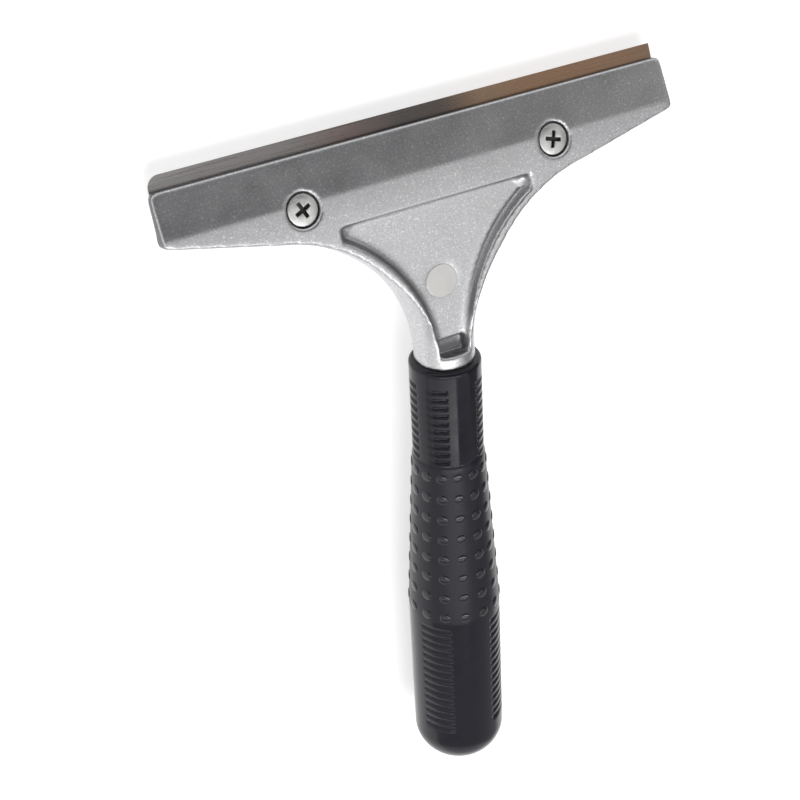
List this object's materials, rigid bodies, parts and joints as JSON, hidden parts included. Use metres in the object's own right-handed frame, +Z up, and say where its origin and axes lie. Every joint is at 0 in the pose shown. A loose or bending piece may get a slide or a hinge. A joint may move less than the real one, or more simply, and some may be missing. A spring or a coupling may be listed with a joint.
{
  "type": "razor blade scraper",
  "caption": "Long-handled scraper: a die-cast T-shaped head clamps a wide razor blade with cross-head screws, and a black moulded grip sleeves the tang.",
  "frame": {"origin": "centre of the bounding box's bottom, on the table that the blade edge and the end of the grip lie on", "axes": "+X along the blade to the right, +Y along the handle from the grip towards the blade, +Z up out of the front face"},
  "size_m": [0.152, 0.2124, 0.027],
  "materials": {
    "cast_head": "fine sparkling cast surface",
    "plate_steel": "satin",
    "nut_steel": "zinc plated",
    "blade_steel": "polished tool steel",
    "screw_steel": "bright",
    "grip_rubber": "satin black"
  },
  "bodies": {
    "handle": {"head_casting": "cast_head", "grip_sleeve": "grip_rubber"},
    "screw_left": {"clamp_screw_left": "screw_steel"},
    "screw_right": {"clamp_screw_right": "screw_steel"},
    "clamp": {"clamp_plate": "plate_steel", "clamp_nut_left": "nut_steel", "clamp_nut_right": "nut_steel"},
    "blade": {"scraper_blade": "blade_steel"}
  },
  "joints": [
    {"name": "screw_left_turn", "type": "hinge", "parent": "handle", "child": "screw_left", "pos_m": [-0.0376, 0.09017, 0.00797], "axis": [0, 0.342, 0.9397], "range_deg": [0, 720]},
    {"name": "screw_right_turn", "type": "hinge", "parent": "handle", "child": "screw_right", "pos_m": [0.0376, 0.09017, 0.00797], "axis": [0, 0.342, 0.9397], "range_deg": [0, 720]},
    {"name": "clamp_slide", "type": "slide", "parent": "handle", "child": "clamp", "axis": [0, -0.342, -0.9397], "range_m": [0, 0.0014]},
    {"name": "blade_slide", "type": "slide", "parent": "handle", "child": "blade", "axis": [0, 0.9397, -0.342], "range_m": [0, 0.016]}
  ],
  "couplings": [
    {"joint": "screw_left_turn", "follows": "clamp_slide", "rad_per_m": 8976},
    {"joint": "screw_right_turn", "follows": "clamp_slide", "rad_per_m": 8976}
  ]
}
